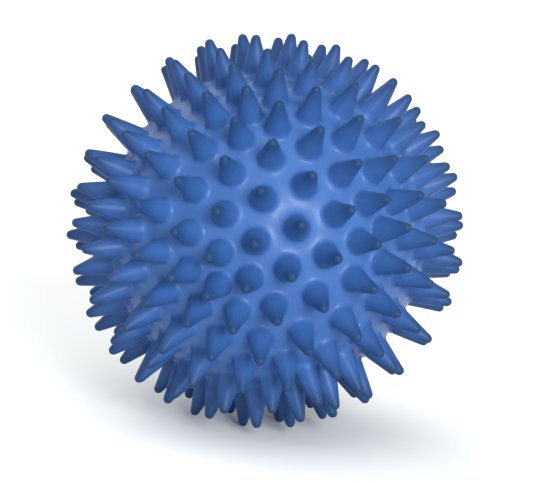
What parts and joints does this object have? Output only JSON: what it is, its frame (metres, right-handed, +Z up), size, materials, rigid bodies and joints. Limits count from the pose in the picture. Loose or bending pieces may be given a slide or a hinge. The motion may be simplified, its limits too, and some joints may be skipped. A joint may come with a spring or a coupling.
{
  "type": "spiky massage ball",
  "caption": "Hollow soft PVC massage ball covered in blunt conical spikes, with an air valve closed by a pull-out stopper.",
  "frame": {"origin": "centre of the ball, which is the centre of its box", "axes": "+Z up, along a three-fold axis of the spike lattice, so the ball stands on three spikes; -Y towards the side opposite the valve; the valve's axis points to -X, +Y and slightly up"},
  "size_m": [0.09, 0.0896, 0.0892],
  "materials": {
    "blue_pvc": "soft blue PVC, satin, even colour",
    "valve_pvc": "the same soft PVC, a little darker, smooth",
    "valve_rubber": "matt black rubber",
    "stopper_plastic": "milky white moulded plastic, satin"
  },
  "bodies": {
    "ball": {"spiked_skin": "blue_pvc", "valve_housing": "valve_pvc", "valve_core": "valve_rubber"},
    "stopper": {"valve_stopper": "stopper_plastic"}
  },
  "joints": [
    {"name": "stopper_pull", "type": "slide", "parent": "ball", "child": "stopper", "axis": [-0.5503, 0.7083, 0.4421], "range_m": [0, 0.015]}
  ]
}
